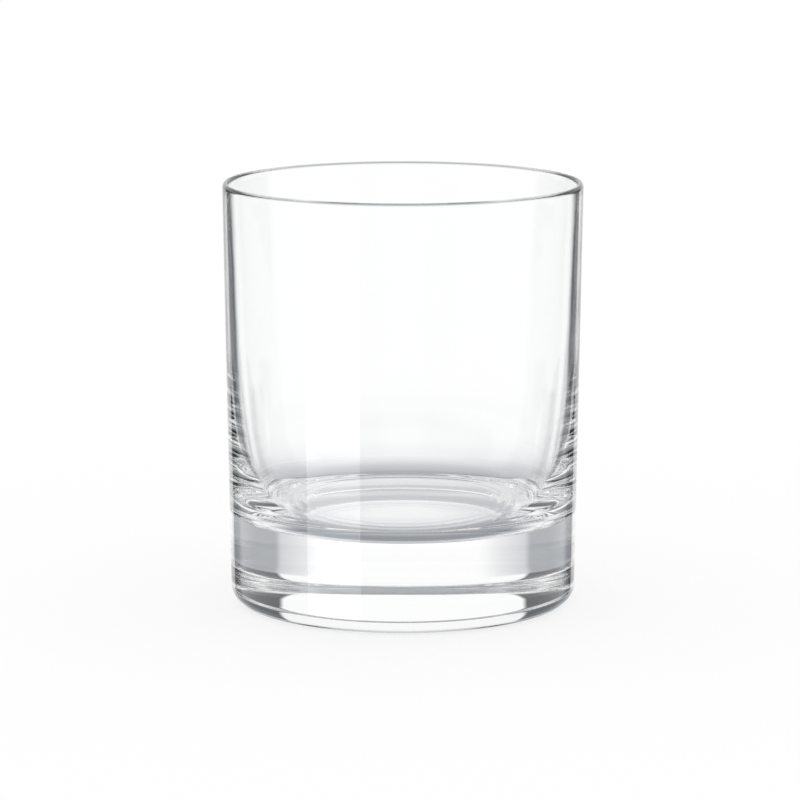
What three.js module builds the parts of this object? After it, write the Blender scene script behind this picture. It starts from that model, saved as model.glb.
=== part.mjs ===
// A rocks glass: a plain clear tumbler on a thick solid base, a little wider at the lip than at the foot.
// Millimetres, +Z up, with the origin at the centre of the plane that the glass stands on.
// Every piece is turned: its half section, points of radius and height, is swept round the Z axis.
import * as THREE from "three";

// Overall sizes
const GLASS_HEIGHT = 94.5;
const LIP_DIAMETER = 80; // across the widest point of the lip's bead
const FOOT_DIAMETER = 77; // across the outside, just above the rounded heel

// Lip: the rim's bead, rounded by the flame and a little proud of the wall below it
const LIP_HEIGHT = 3.2; // from the seam with the bowl to the top
const LIP_BEAD_THICKNESS = 1.4;
const LIP_BEAD_RISE = 1.1; // height over which the bead rounds up to its top
const LIP_BEAD_PROUD = 0.05; // how far the bead stands out past the line of the outer wall

// Bowl: a thin wall that thickens downwards and runs in a long curve into a flat floor
const WALL_BELOW_LIP = 1.4;
const WALL_AT_SHOULDER = 2.3;
const SHOULDER_ABOVE_FLOOR = 40; // height over the floor where the wall starts to curve inwards
const FLOOR_DIAMETER = 53; // the flat of the floor
const WALL_EASE_LENGTH = 29; // how far the wall's line runs on down before it turns in
const FLOOR_EASE_LENGTH = 7.5; // how far the floor's line runs on out before it turns up
const FLOOR_THICKNESS = 1.6; // glass of the bowl between its floor and the base

// Base: a solid disc with a rounded heel, a flat ring to stand on and a shallow flat hollow inside that ring
const BASE_HEIGHT = 17.6;
const HEEL_RADIUS = 4.5;
const HOLLOW_DIAMETER = 60;
const HOLLOW_DEPTH = 0.7;
const HOLLOW_STEP_LENGTH = 4; // how far in from its edge the hollow reaches its full depth

// Facet counts
const ROUND_FACET_COUNT = 72;
const BEAD_FACET_COUNT = 12;
const WELL_FACET_COUNT = 18;
const HEEL_FACET_COUNT = 9;
const HOLLOW_FACET_COUNT = 6;

// Sizes that follow from the ones above
const footRadius = FOOT_DIAMETER / 2;
const wallTopRadius = LIP_DIAMETER / 2 - LIP_BEAD_PROUD;
const hollowRadius = HOLLOW_DIAMETER / 2;
const lipSeam = GLASS_HEIGHT - LIP_HEIGHT;
const floorHeight = BASE_HEIGHT + FLOOR_THICKNESS;
const shoulderHeight = floorHeight + SHOULDER_ABOVE_FLOOR;
const beadRadius = LIP_BEAD_THICKNESS / 2;
const beadCentreRadius = LIP_DIAMETER / 2 - beadRadius;
const beadCentreHeight = GLASS_HEIGHT - LIP_BEAD_RISE;

// The outside of the glass is one straight draft from the heel to the lip.
function outerRadius(height) {
  const share = (height - HEEL_RADIUS) / (GLASS_HEIGHT - HEEL_RADIUS);
  return footRadius + (wallTopRadius - footRadius) * share;
}

function point(radius, height) {
  return new THREE.Vector2(radius, height);
}

function line(from, to) {
  return [from, to];
}

// Part of an ellipse, between two angles in degrees from the direction that points outwards.
function arc(centre, halfWidth, halfHeight, fromDegrees, toDegrees, facets) {
  const points = [];
  for (let step = 0; step <= facets; step += 1) {
    const degrees = fromDegrees + ((toDegrees - fromDegrees) * step) / facets;
    const angle = THREE.MathUtils.degToRad(degrees);
    points.push(point(centre.x + halfWidth * Math.cos(angle), centre.y + halfHeight * Math.sin(angle)));
  }
  return points;
}

// A curve that leaves one point along its own line and arrives at another along that one's line.
function easedCurve(from, fromControl, toControl, to, facets) {
  return new THREE.CubicBezierCurve(from, fromControl, toControl, to).getPoints(facets);
}

// Joins the stretches of a half section, without the points that two stretches share.
function joined(...stretches) {
  const least = 1e-3;
  return stretches.flat().filter((p, i, all) => i === 0 || p.distanceTo(all[i - 1]) > least);
}

// Half section of the lip, closed on itself: seam, outside up, over the bead, inside down.
function lipSection() {
  const seamOuter = point(outerRadius(lipSeam), lipSeam);
  const seamInner = point(outerRadius(lipSeam) - WALL_BELOW_LIP, lipSeam);
  const beadCentre = point(beadCentreRadius, beadCentreHeight);
  const outside = point(beadCentreRadius + beadRadius, beadCentreHeight);
  const inside = point(beadCentreRadius - beadRadius, beadCentreHeight);
  const ease = (beadCentreHeight - lipSeam) / 2;
  const lifted = (p, by) => point(p.x, p.y + by);
  return joined(
    line(seamInner, seamOuter),
    easedCurve(seamOuter, lifted(seamOuter, ease), lifted(outside, -ease), outside, BEAD_FACET_COUNT / 2),
    arc(beadCentre, beadRadius, LIP_BEAD_RISE, 0, 180, BEAD_FACET_COUNT),
    easedCurve(inside, lifted(inside, -ease), lifted(seamInner, ease), seamInner, BEAD_FACET_COUNT / 2),
  );
}

// Half section of the bowl, from the axis on its underside to the axis on its floor.
function bowlSection() {
  const shoulder = point(outerRadius(shoulderHeight) - WALL_AT_SHOULDER, shoulderHeight);
  const seamInner = point(outerRadius(lipSeam) - WALL_BELOW_LIP, lipSeam);
  const floorEdge = point(FLOOR_DIAMETER / 2, floorHeight);
  const wallLine = shoulder.clone().sub(seamInner).setLength(WALL_EASE_LENGTH);
  const wallControl = shoulder.clone().add(wallLine);
  const floorControl = point(floorEdge.x + FLOOR_EASE_LENGTH, floorHeight);
  return joined(
    line(point(0, BASE_HEIGHT), point(outerRadius(BASE_HEIGHT), BASE_HEIGHT)),
    line(point(outerRadius(lipSeam), lipSeam), seamInner),
    easedCurve(shoulder, wallControl, floorControl, floorEdge, WELL_FACET_COUNT),
    line(floorEdge, point(0, floorHeight)),
  );
}

// Half section of the base, from the axis in the hollow underneath to the axis on its top.
function baseSection() {
  const flatEdge = point(hollowRadius - HOLLOW_STEP_LENGTH, HOLLOW_DEPTH);
  const hollowEdge = point(hollowRadius, 0);
  const stepMiddle = hollowRadius - HOLLOW_STEP_LENGTH / 2;
  const flatControl = point(stepMiddle, HOLLOW_DEPTH);
  const edgeControl = point(stepMiddle, 0);
  const heelCentre = point(footRadius - HEEL_RADIUS, HEEL_RADIUS);
  return joined(
    line(point(0, HOLLOW_DEPTH), flatEdge),
    easedCurve(flatEdge, flatControl, edgeControl, hollowEdge, HOLLOW_FACET_COUNT),
    arc(heelCentre, HEEL_RADIUS, HEEL_RADIUS, -90, 0, HEEL_FACET_COUNT),
    line(point(outerRadius(BASE_HEIGHT), BASE_HEIGHT), point(0, BASE_HEIGHT)),
  );
}

// Sweeps a half section round Z.
function turned(section) {
  return new THREE.LatheGeometry(section, ROUND_FACET_COUNT).rotateX(Math.PI / 2);
}

function clearGlass() {
  return new THREE.MeshStandardMaterial({
    color: 0xf4f7f7,
    roughness: 0.03,
    metalness: 0,
    transparent: true,
    opacity: 0.35,
  });
}

function piece(name, section) {
  const mesh = new THREE.Mesh(turned(section), clearGlass());
  mesh.name = name;
  return mesh;
}

const glass = new THREE.Group();
glass.name = "rocks_glass";
glass.add(piece("base", baseSection()));
glass.add(piece("bowl", bowlSection()));
glass.add(piece("lip", lipSection()));

export default glass;
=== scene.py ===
"""A rocks glass on a white table: the turned glass, its material and a plain studio."""

import math

import bpy
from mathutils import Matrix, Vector


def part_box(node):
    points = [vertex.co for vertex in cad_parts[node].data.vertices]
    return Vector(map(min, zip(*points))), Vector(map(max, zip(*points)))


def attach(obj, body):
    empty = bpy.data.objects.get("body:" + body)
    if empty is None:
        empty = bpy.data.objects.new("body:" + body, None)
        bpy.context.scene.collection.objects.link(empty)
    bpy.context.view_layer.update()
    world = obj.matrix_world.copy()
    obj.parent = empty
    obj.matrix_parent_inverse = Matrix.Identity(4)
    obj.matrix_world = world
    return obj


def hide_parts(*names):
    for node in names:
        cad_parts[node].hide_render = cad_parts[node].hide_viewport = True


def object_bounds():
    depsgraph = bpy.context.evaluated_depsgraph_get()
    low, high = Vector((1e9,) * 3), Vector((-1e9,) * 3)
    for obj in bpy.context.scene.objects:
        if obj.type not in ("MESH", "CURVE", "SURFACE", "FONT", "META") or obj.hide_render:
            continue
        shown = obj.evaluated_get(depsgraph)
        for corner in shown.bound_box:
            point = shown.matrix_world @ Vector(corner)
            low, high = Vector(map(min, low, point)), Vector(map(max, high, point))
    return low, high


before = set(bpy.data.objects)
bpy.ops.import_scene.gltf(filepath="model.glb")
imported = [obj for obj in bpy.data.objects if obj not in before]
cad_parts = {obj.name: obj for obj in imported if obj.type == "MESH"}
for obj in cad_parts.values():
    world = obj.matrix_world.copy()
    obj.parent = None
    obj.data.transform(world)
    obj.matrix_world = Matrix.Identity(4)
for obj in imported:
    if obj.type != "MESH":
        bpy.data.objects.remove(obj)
cad_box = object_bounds()

# Sizes of the glass in metres. The height, the lip's width and the seams come from the frame,
# the rest repeats the part's own sizes.
MM = 0.001
GLASS_HEIGHT = cad_box[1].z
LIP_RADIUS = cad_box[1].x
LIP_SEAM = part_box("lip")[0].z
BASE_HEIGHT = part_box("base")[1].z
FOOT_RADIUS = 38.5 * MM
BEAD_RADIUS = 0.7 * MM
BEAD_RISE = 1.1 * MM
WALL_BELOW_LIP = 1.4 * MM
WALL_AT_SHOULDER = 2.3 * MM
FLOOR_THICKNESS = 1.6 * MM
FLOOR_HEIGHT = BASE_HEIGHT + FLOOR_THICKNESS
SHOULDER_ABOVE_FLOOR = 40 * MM
SHOULDER_HEIGHT = FLOOR_HEIGHT + SHOULDER_ABOVE_FLOOR
FLOOR_RADIUS = 26.5 * MM
WALL_EASE = 29 * MM
FLOOR_EASE = 7.5 * MM
HEEL_RADIUS = 4.5 * MM
HOLLOW_RADIUS = 30 * MM
HOLLOW_DEPTH = 0.7 * MM
HOLLOW_STEP = 4 * MM

# Shallow rings that the press leaves round the edge of the floor, between two radii
RIPPLED = (20 * MM, 31 * MM)
RIPPLE_PITCH = 2.6 * MM
RIPPLE_DEPTH = 0.08 * MM

# The glass itself and its surface
GLASS_IOR = 1.52
WAVES_PER_METRE = 70
WAVE_DETAIL = 1.0
WAVE_DEPTH = 0.03 * MM
GLASS_TINT = (0.994, 0.998, 0.998, 1)

# Mesh density
SIDES = 256
STEPS_WALL = 60
STEPS_CURVE = 160
STEPS_ARC = 40
STEPS_FLAT = 10
# Sides of the card of painted shadow and shine under the glass
SHADE_CARD_SIDES = 96

# Camera: fitted to the lip and foot ellipses of the photograph, in its frame of 800 pixels
PHOTO_WIDTH = 800
FOCAL_PIXELS = 4437.2
AXIS_PIXEL = 402.9
CAMERA_DISTANCE = 0.976
CAMERA_HEIGHT = 0.2115
CAMERA_PITCH = math.radians(9.655)
SENSOR_WIDTH = 36.0
CLIP_START = 0.01
CLIP_END = 100

# How often light is followed through the glass and off it
GLASS_BOUNCES = 32
GLOSSY_BOUNCES = 20

# Studio: the soft panel stands to the left of the glass, with its upright edges in degrees off straight
# front and the other two in metres of height
TABLE_SIZE = 8.0
TABLE_GAP = 0.02 * MM
TABLE_ALBEDO = 0.22
# The card under the glass that carries painted shadow and painted shine
SHADE_CARD_CENTRE = (0, 0, 0)
SHADE_CARD_RADIUS = 42 * MM
SOFTBOX_SIDE = 1.0
SOFTBOX_ACROSS = (27.7, 65)
SOFTBOX_UP = (-1.5, 0.3)
SOFTBOX_LEVEL = 3.2

# How much bluer the darker tones are
COOLNESS = 0.07

# Degrees
HALF_TURN = 180
QUARTER_TURN = 90

# Tones that the glass shows, as (place, level) pairs

# Painted shadow on the card under the glass: darker outwards to just inside the ring where the glass
# stands, by millimetres from the axis, and darker to the front, by millimetres towards the back
PAINTED_CONTACT_SHADE_TONES = (
    (0, 0.9), (8, 0.88), (15, 0.76), (20, 0.64), (27, 0.56), (31, 0.6), (34, 0.8), (42, 0.8),
)
PAINTED_FRONT_SHADE_TONES = ((-15, 0.48), (-11, 0.7), (-5, 0.9), (0, 1.0))
# Painted light and shade in rings on that card, by millimetres from a point in front of the axis
PAINTED_SHINE_CENTRE = (0, -10 * MM, 0)
PAINTED_SHINE_REACH = 60
PAINTED_SHINE_TONES = (
    (0, 1.0), (24.6, 1.06), (25.6, 1.4), (26.6, 0.8), (31, 0.84),
    (34, 1.15), (36.5, 1.15), (38.5, 0.9), (44, 0.9), (48, 1.0),
)
# The room round the glass, by degrees above level
HEIGHT_TONES = (
    (-90, 0.3), (-50, 0.42), (-36, 0.58), (-26, 0.9), (-19, 1.0), (37, 1.0), (53, 0.3), (90, 0.3),
)
# The room's floor, walls and upper walls, by degrees off straight back
FLOOR_TONES = ((19.5, 1.0), (21.5, 0.3), (26, 0.15), (33, 0.1), (35.5, 0.4), (40, 0.9), (45, 1.0))
WALL_TONES = (
    (18, 1.0), (25, 0.8), (33.5, 0.64), (36, 0.4), (48, 0.37), (57, 0.4), (74, 0.42), (80, 1.0),
)
UPPER_TONES = (
    (33, 1.0), (35, 0.1), (76, 0.1), (84, 1.0), (98, 1.0), (106, 0.2), (160, 0.2), (170, 0.6),
)
# The room as the outside of the glass reflects it, by degrees off straight back
MIRRORED_TONES = ((25.5, 1.0), (27.5, 0.1), (38, 0.1), (46, 1.0))
# Degrees above level where the near floor, the same to the back and to both sides, gives way to the far
# floor, that to the walls, these to the upper walls, and those to a pale ceiling
FLOOR_START = (-16.5, -15.5)
WALL_START = (-11.0, -10.9)
UPPER_START = (0, 4)
CEILING_START = (24, 34)
# Degrees above level where the reflected room turns pale
MIRRORED_END = (-2, 6)


# Half section of the glass

def outer_radius(height):
    """Radius of the outer wall's straight draft."""
    share = (height - HEEL_RADIUS) / (GLASS_HEIGHT - HEEL_RADIUS)
    return FOOT_RADIUS + (LIP_RADIUS - FOOT_RADIUS) * share


def line(start, end, steps):
    """Points from start towards end, without the end itself."""
    return [start.lerp(end, i / steps) for i in range(steps)]


def curve(start, start_control, end_control, end, steps):
    """Points of a cubic curve, without its end."""
    points = []
    for i in range(steps):
        t = i / steps
        s = 1 - t
        points.append(
            start * s**3
            + start_control * (3 * s * s * t)
            + end_control * (3 * s * t * t)
            + end * t**3
        )
    return points


def arc(centre, half_width, half_height, first, last, steps):
    """Points of an ellipse between two angles in degrees, without its end."""
    points = []
    for i in range(steps):
        angle = math.radians(first + (last - first) * i / steps)
        across, up = half_width * math.cos(angle), half_height * math.sin(angle)
        points.append(centre + Vector((across, up)))
    return points


def rippled(points):
    """Points of the well with the floor's shallow rings."""
    inner, outer = RIPPLED
    moved = []
    for p in points:
        share = (p.x - inner) / (outer - inner)
        fade = math.sin(math.pi * share) if 0 < share < 1 else 0
        wave = math.sin(2 * math.pi * (p.x - inner) / RIPPLE_PITCH)
        moved.append(p + Vector((0, RIPPLE_DEPTH * fade * wave)))
    return moved


def glass_section():
    """Half section, as radius and height, from the axis underneath to the axis on the well's floor."""
    hollow_centre = Vector((0, HOLLOW_DEPTH))
    hollow_flat = Vector((HOLLOW_RADIUS - HOLLOW_STEP, HOLLOW_DEPTH))
    hollow_edge = Vector((HOLLOW_RADIUS, 0))
    hollow_run = Vector((HOLLOW_STEP / 2, 0))
    heel_centre = Vector((FOOT_RADIUS - HEEL_RADIUS, HEEL_RADIUS))
    heel_start = Vector((FOOT_RADIUS - HEEL_RADIUS, 0))
    heel_end = Vector((FOOT_RADIUS, HEEL_RADIUS))
    seam_inner = Vector((outer_radius(LIP_SEAM) - WALL_BELOW_LIP, LIP_SEAM))
    shoulder = Vector((outer_radius(SHOULDER_HEIGHT) - WALL_AT_SHOULDER, SHOULDER_HEIGHT))
    wall_run = (shoulder - seam_inner).normalized() * WALL_EASE
    bead_height = GLASS_HEIGHT - BEAD_RISE
    bead_outer = Vector((outer_radius(bead_height), bead_height))
    bead_centre = bead_outer - Vector((BEAD_RADIUS, 0))
    bead_inner = bead_centre - Vector((BEAD_RADIUS, 0))
    floor_edge = Vector((FLOOR_RADIUS, FLOOR_HEIGHT))
    floor_run = Vector((FLOOR_EASE, 0))
    floor_centre = Vector((0, FLOOR_HEIGHT))
    underside = (
        line(hollow_centre, hollow_flat, STEPS_FLAT)
        + curve(hollow_flat, hollow_flat + hollow_run, hollow_edge - hollow_run, hollow_edge, STEPS_ARC)
        + line(hollow_edge, heel_start, STEPS_FLAT)
        + arc(heel_centre, HEEL_RADIUS, HEEL_RADIUS, -90, 0, STEPS_ARC)
    )
    walls = (
        line(heel_end, bead_outer, STEPS_WALL)
        + arc(bead_centre, BEAD_RADIUS, BEAD_RISE, 0, 180, STEPS_ARC)
        + line(bead_inner, shoulder, STEPS_WALL)
    )
    well = (
        curve(shoulder, shoulder + wall_run, floor_edge + floor_run, floor_edge, STEPS_CURVE)
        + line(floor_edge, floor_centre, STEPS_CURVE)
    )
    return underside + walls + rippled(well) + [floor_centre]


def turned_mesh(name, section):
    """A closed mesh swept from a half section that starts and ends on the axis."""
    vertices = [(0, 0, section[0].y)]
    for p in section[1:-1]:
        for side in range(SIDES):
            angle = 2 * math.pi * side / SIDES
            vertices.append((p.x * math.cos(angle), p.x * math.sin(angle), p.y))
    vertices.append((0, 0, section[-1].y))
    rings = [1 + SIDES * i for i in range(len(section) - 2)]
    faces = []
    for side in range(SIDES):
        after = (side + 1) % SIDES
        faces.append((0, rings[0] + after, rings[0] + side))
        for low, high in zip(rings, rings[1:]):
            faces.append((low + side, low + after, high + after, high + side))
        faces.append((rings[-1] + side, rings[-1] + after, len(vertices) - 1))
    mesh = bpy.data.meshes.new(name)
    mesh.from_pydata(vertices, [], faces)
    mesh.update()
    mesh.shade_smooth()
    return mesh


def add_object(name, mesh, material):
    """A mesh with its material, placed in the scene."""
    mesh.materials.append(material)
    made = bpy.data.objects.new(name, mesh)
    bpy.context.scene.collection.objects.link(made)
    return made


# Materials

def clear_glass():
    """Clear glass, polished by the flame: very faintly wavy, with hardly any colour."""
    material = bpy.data.materials.new("clear_glass")
    material.use_nodes = True
    tree = material.node_tree
    shader = tree.nodes["Principled BSDF"]
    shader.inputs["Roughness"].default_value = 0.0
    shader.inputs["IOR"].default_value = GLASS_IOR
    shader.inputs["Transmission Weight"].default_value = 1.0
    place = tree.nodes.new("ShaderNodeTexCoord")
    waves = tree.nodes.new("ShaderNodeTexNoise")
    relief = tree.nodes.new("ShaderNodeBump")
    tint = tree.nodes.new("ShaderNodeValToRGB")
    waves.inputs["Scale"].default_value = WAVES_PER_METRE
    waves.inputs["Detail"].default_value = WAVE_DETAIL
    relief.inputs["Strength"].default_value = 1.0
    relief.inputs["Distance"].default_value = WAVE_DEPTH
    tint.color_ramp.elements[0].color = GLASS_TINT
    tint.color_ramp.elements[1].color = (1, 1, 1, 1)
    tree.links.new(place.outputs["Object"], waves.inputs["Vector"])
    tree.links.new(waves.outputs["Fac"], relief.inputs["Height"])
    tree.links.new(waves.outputs["Fac"], tint.inputs["Fac"])
    tree.links.new(relief.outputs["Normal"], shader.inputs["Normal"])
    tree.links.new(tint.outputs["Color"], shader.inputs["Base Color"])
    return material


def glowing(name, level):
    """An even matt tone that light doesn't change, for cards of the studio."""
    material = bpy.data.materials.new(name)
    material.use_nodes = True
    tree = material.node_tree
    tree.nodes.clear()
    output = tree.nodes.new("ShaderNodeOutputMaterial")
    tone = tree.nodes.new("ShaderNodeEmission")
    tone.inputs["Color"].default_value = (level, level, level, 1)
    tree.links.new(tone.outputs[0], output.inputs["Surface"])
    return material


def tone_ramp(tree, value, low, high, tones):
    """Turns a value into a grey by (place, level) pairs between low and high."""
    spread = tree.nodes.new("ShaderNodeMapRange")
    ramp = tree.nodes.new("ShaderNodeValToRGB")
    spread.inputs["From Min"].default_value = low
    spread.inputs["From Max"].default_value = high
    steps = ramp.color_ramp.elements
    while len(steps) < len(tones):
        steps.new(1.0)
    for step, (place, level) in zip(steps, tones):
        step.position = (place - low) / (high - low)
        cool = COOLNESS * (1 - level)
        step.color = (level * (1 - cool), level, level * (1 + cool), 1)
    tree.links.new(value, spread.inputs["Value"])
    tree.links.new(spread.outputs[0], ramp.inputs[0])
    return ramp.outputs[0]


def calculated(tree, operation, *values):
    """A math node on sockets and plain numbers."""
    node = tree.nodes.new("ShaderNodeMath")
    node.operation = operation
    for socket, value in zip(node.inputs, values):
        if isinstance(value, (int, float)):
            socket.default_value = value
        else:
            tree.links.new(value, socket)
    return node.outputs[0]


def share_between(tree, value, span):
    """0 below the span, 1 above it and even between."""
    node = tree.nodes.new("ShaderNodeMapRange")
    node.inputs["From Min"].default_value = span[0]
    node.inputs["From Max"].default_value = span[1]
    tree.links.new(value, node.inputs["Value"])
    return node.outputs[0]


def multiplied(tree, first, second):
    """The product of two colours."""
    node = tree.nodes.new("ShaderNodeVectorMath")
    node.operation = "MULTIPLY"
    tree.links.new(first, node.inputs[0])
    tree.links.new(second, node.inputs[1])
    return node.outputs[0]


def blended(tree, share, first, second=None):
    """A mix of a colour and a second one, which is white if it isn't given."""
    node = tree.nodes.new("ShaderNodeMixRGB")
    tree.links.new(share, node.inputs["Fac"])
    tree.links.new(first, node.inputs["Color1"])
    if second:
        tree.links.new(second, node.inputs["Color2"])
    else:
        node.inputs["Color2"].default_value = (1, 1, 1, 1)
    return node.outputs[0]


def millimetres_from(tree, position, centre):
    """How far a position lies from a fixed point."""
    node = tree.nodes.new("ShaderNodeVectorMath")
    node.operation = "DISTANCE"
    node.inputs[1].default_value = centre
    tree.links.new(position, node.inputs[0])
    return calculated(tree, "DIVIDE", node.outputs["Value"], MM)


def painted_shade_card_tone():
    """Painted shadow and painted shine for the pale card under the glass: darker outwards and to the
    front, with painted rings of light and shade.
    """
    material = glowing("painted_shade_card_tone", 1.0)
    tree = material.node_tree
    position = tree.nodes.new("ShaderNodeNewGeometry").outputs["Position"]
    split = tree.nodes.new("ShaderNodeSeparateXYZ")
    tree.links.new(position, split.inputs[0])
    reach = SHADE_CARD_RADIUS / MM
    outwards = millimetres_from(tree, position, SHADE_CARD_CENTRE)
    backwards = calculated(tree, "DIVIDE", split.outputs["Y"], MM)
    from_painted_shine = millimetres_from(tree, position, PAINTED_SHINE_CENTRE)
    # Painted shadow by distance from the axis and to the front, times painted rings of shine
    painted_ring_shade = tone_ramp(tree, outwards, 0, reach, PAINTED_CONTACT_SHADE_TONES)
    painted_front_shade = tone_ramp(tree, backwards, -reach, reach, PAINTED_FRONT_SHADE_TONES)
    painted_shine = tone_ramp(tree, from_painted_shine, 0, PAINTED_SHINE_REACH, PAINTED_SHINE_TONES)
    tone = multiplied(tree, multiplied(tree, painted_ring_shade, painted_front_shade), painted_shine)
    tree.links.new(tone, tree.nodes["Emission"].inputs["Color"])
    return material


def table_white():
    """White table: part of its tone is its own, and the rest takes the shadow of the glass."""
    material = bpy.data.materials.new("table_white")
    material.use_nodes = True
    tree = material.node_tree
    tree.nodes.clear()
    output = tree.nodes.new("ShaderNodeOutputMaterial")
    both = tree.nodes.new("ShaderNodeAddShader")
    matt = tree.nodes.new("ShaderNodeBsdfDiffuse")
    own = tree.nodes.new("ShaderNodeEmission")
    matt.inputs["Color"].default_value = (TABLE_ALBEDO, TABLE_ALBEDO, TABLE_ALBEDO, 1)
    own.inputs["Strength"].default_value = 1 - TABLE_ALBEDO
    tree.links.new(matt.outputs[0], both.inputs[0])
    tree.links.new(own.outputs[0], both.inputs[1])
    tree.links.new(both.outputs[0], output.inputs["Surface"])
    return material


# Studio

def room_tone(tree):
    """Tone of the room by direction: pale floor and walls with dark stretches between their middles."""
    direction = tree.nodes.new("ShaderNodeTexCoord")
    split = tree.nodes.new("ShaderNodeSeparateXYZ")
    path = tree.nodes.new("ShaderNodeLightPath")
    tree.links.new(direction.outputs["Generated"], split.inputs[0])
    up = calculated(tree, "DEGREES", calculated(tree, "ARCSINE", split.outputs["Z"]))
    across = calculated(tree, "ABSOLUTE", split.outputs["X"])
    aside = calculated(tree, "DEGREES", calculated(tree, "ARCTAN2", across, split.outputs["Y"]))
    to_side = calculated(tree, "MINIMUM", aside, QUARTER_TURN)
    folded = calculated(tree, "PINGPONG", to_side, QUARTER_TURN / 2)
    near_floor = tone_ramp(tree, folded, 0, HALF_TURN, FLOOR_TONES)
    far_floor = tone_ramp(tree, aside, 0, HALF_TURN, FLOOR_TONES)
    walls = tone_ramp(tree, aside, 0, HALF_TURN, WALL_TONES)
    upper = tone_ramp(tree, aside, 0, HALF_TURN, UPPER_TONES)
    sides = blended(tree, share_between(tree, up, FLOOR_START), near_floor, far_floor)
    sides = blended(tree, share_between(tree, up, WALL_START), sides, walls)
    sides = blended(tree, share_between(tree, up, UPPER_START), sides, upper)
    sides = blended(tree, share_between(tree, up, CEILING_START), sides)
    height = tone_ramp(tree, up, -QUARTER_TURN, QUARTER_TURN, HEIGHT_TONES)
    mirrored = tone_ramp(tree, aside, 0, HALF_TURN, MIRRORED_TONES)
    mirrored = blended(tree, share_between(tree, up, MIRRORED_END), mirrored)
    shown = blended(tree, path.outputs["Is Transmission Ray"], mirrored, sides)
    return multiplied(tree, shown, height)


def add_world():
    """Even white light; through and off the glass, the room shows."""
    world = bpy.data.worlds.new("studio")
    bpy.context.scene.world = world
    world.use_nodes = True
    tree = world.node_tree
    tree.nodes.clear()
    output = tree.nodes.new("ShaderNodeOutputWorld")
    white = tree.nodes.new("ShaderNodeBackground")
    white.inputs["Color"].default_value = (1, 1, 1, 1)
    room = tree.nodes.new("ShaderNodeBackground")
    path = tree.nodes.new("ShaderNodeLightPath")
    choice = tree.nodes.new("ShaderNodeMixShader")
    tree.links.new(room_tone(tree), room.inputs["Color"])
    mirrored, passed = path.outputs["Is Glossy Ray"], path.outputs["Is Transmission Ray"]
    by_glass = calculated(tree, "MAXIMUM", mirrored, passed)
    tree.links.new(by_glass, choice.inputs[0])
    tree.links.new(white.outputs[0], choice.inputs[1])
    tree.links.new(room.outputs[0], choice.inputs[2])
    tree.links.new(choice.outputs[0], output.inputs["Surface"])


def add_table():
    """A wide white table, which the glass itself doesn't show."""
    half = TABLE_SIZE / 2
    mesh = bpy.data.meshes.new("table")
    corners = [(-half, -half), (half, -half), (half, half), (-half, half)]
    mesh.from_pydata([(x, y, -TABLE_GAP) for x, y in corners], [], [(0, 1, 2, 3)])
    table = add_object("table", mesh, table_white())
    table.visible_glossy = False
    table.visible_transmission = False


def only_in_glass(card):
    """A card that only the glass shows: it stands out of the camera's sight and throws no shadow."""
    card.visible_camera = False
    card.visible_diffuse = False
    card.visible_shadow = False


def add_painted_shade_card():
    """A round pale card under the glass that only the glass shows, carrying painted shadow and painted
    shine in place of the table.
    """
    angles = [2 * math.pi * i / SHADE_CARD_SIDES for i in range(SHADE_CARD_SIDES)]
    mesh = bpy.data.meshes.new("painted_shade_card")
    height = -TABLE_GAP / 2
    rim = [(SHADE_CARD_RADIUS * math.cos(a), SHADE_CARD_RADIUS * math.sin(a), height) for a in angles]
    mesh.from_pydata(rim, [], [tuple(range(SHADE_CARD_SIDES))])
    only_in_glass(add_object("painted_shade_card", mesh, painted_shade_card_tone()))


def add_softbox():
    """A soft light panel beside the camera, of which the glass shows the reflection."""
    near, far = [-SOFTBOX_SIDE / math.tan(math.radians(degrees)) for degrees in SOFTBOX_ACROSS]
    low, high = SOFTBOX_UP
    corners = [(near, low), (far, low), (far, high), (near, high)]
    mesh = bpy.data.meshes.new("softbox")
    mesh.from_pydata([(-SOFTBOX_SIDE, y, z) for y, z in corners], [], [(0, 1, 2, 3)])
    panel = add_object("softbox", mesh, glowing("softbox_tone", SOFTBOX_LEVEL))
    only_in_glass(panel)
    panel.visible_transmission = False


def add_camera():
    """The camera of the photograph."""
    data = bpy.data.cameras.new("camera")
    data.sensor_width = SENSOR_WIDTH
    data.lens = SENSOR_WIDTH * FOCAL_PIXELS / PHOTO_WIDTH
    data.clip_start = CLIP_START
    data.clip_end = CLIP_END
    camera = bpy.data.objects.new("camera", data)
    bpy.context.scene.collection.objects.link(camera)
    sideways = -(AXIS_PIXEL - PHOTO_WIDTH / 2) / FOCAL_PIXELS * CAMERA_DISTANCE
    camera.location = (sideways, -CAMERA_DISTANCE, CAMERA_HEIGHT)
    camera.rotation_euler = (math.pi / 2 - CAMERA_PITCH, 0, 0)
    bpy.context.scene.camera = camera


# The scene

scene = bpy.context.scene
scene.view_settings.view_transform = "Standard"
scene.cycles.max_bounces = GLASS_BOUNCES
scene.cycles.transmission_bounces = GLASS_BOUNCES
scene.cycles.glossy_bounces = GLOSSY_BOUNCES

glass = add_object("rocks_glass", turned_mesh("rocks_glass", glass_section()), clear_glass())
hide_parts("base", "bowl", "lip")
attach(glass, "root")

add_camera()
add_world()
add_table()
# A card of painted shadow and shine under the glass
add_painted_shade_card()
add_softbox()
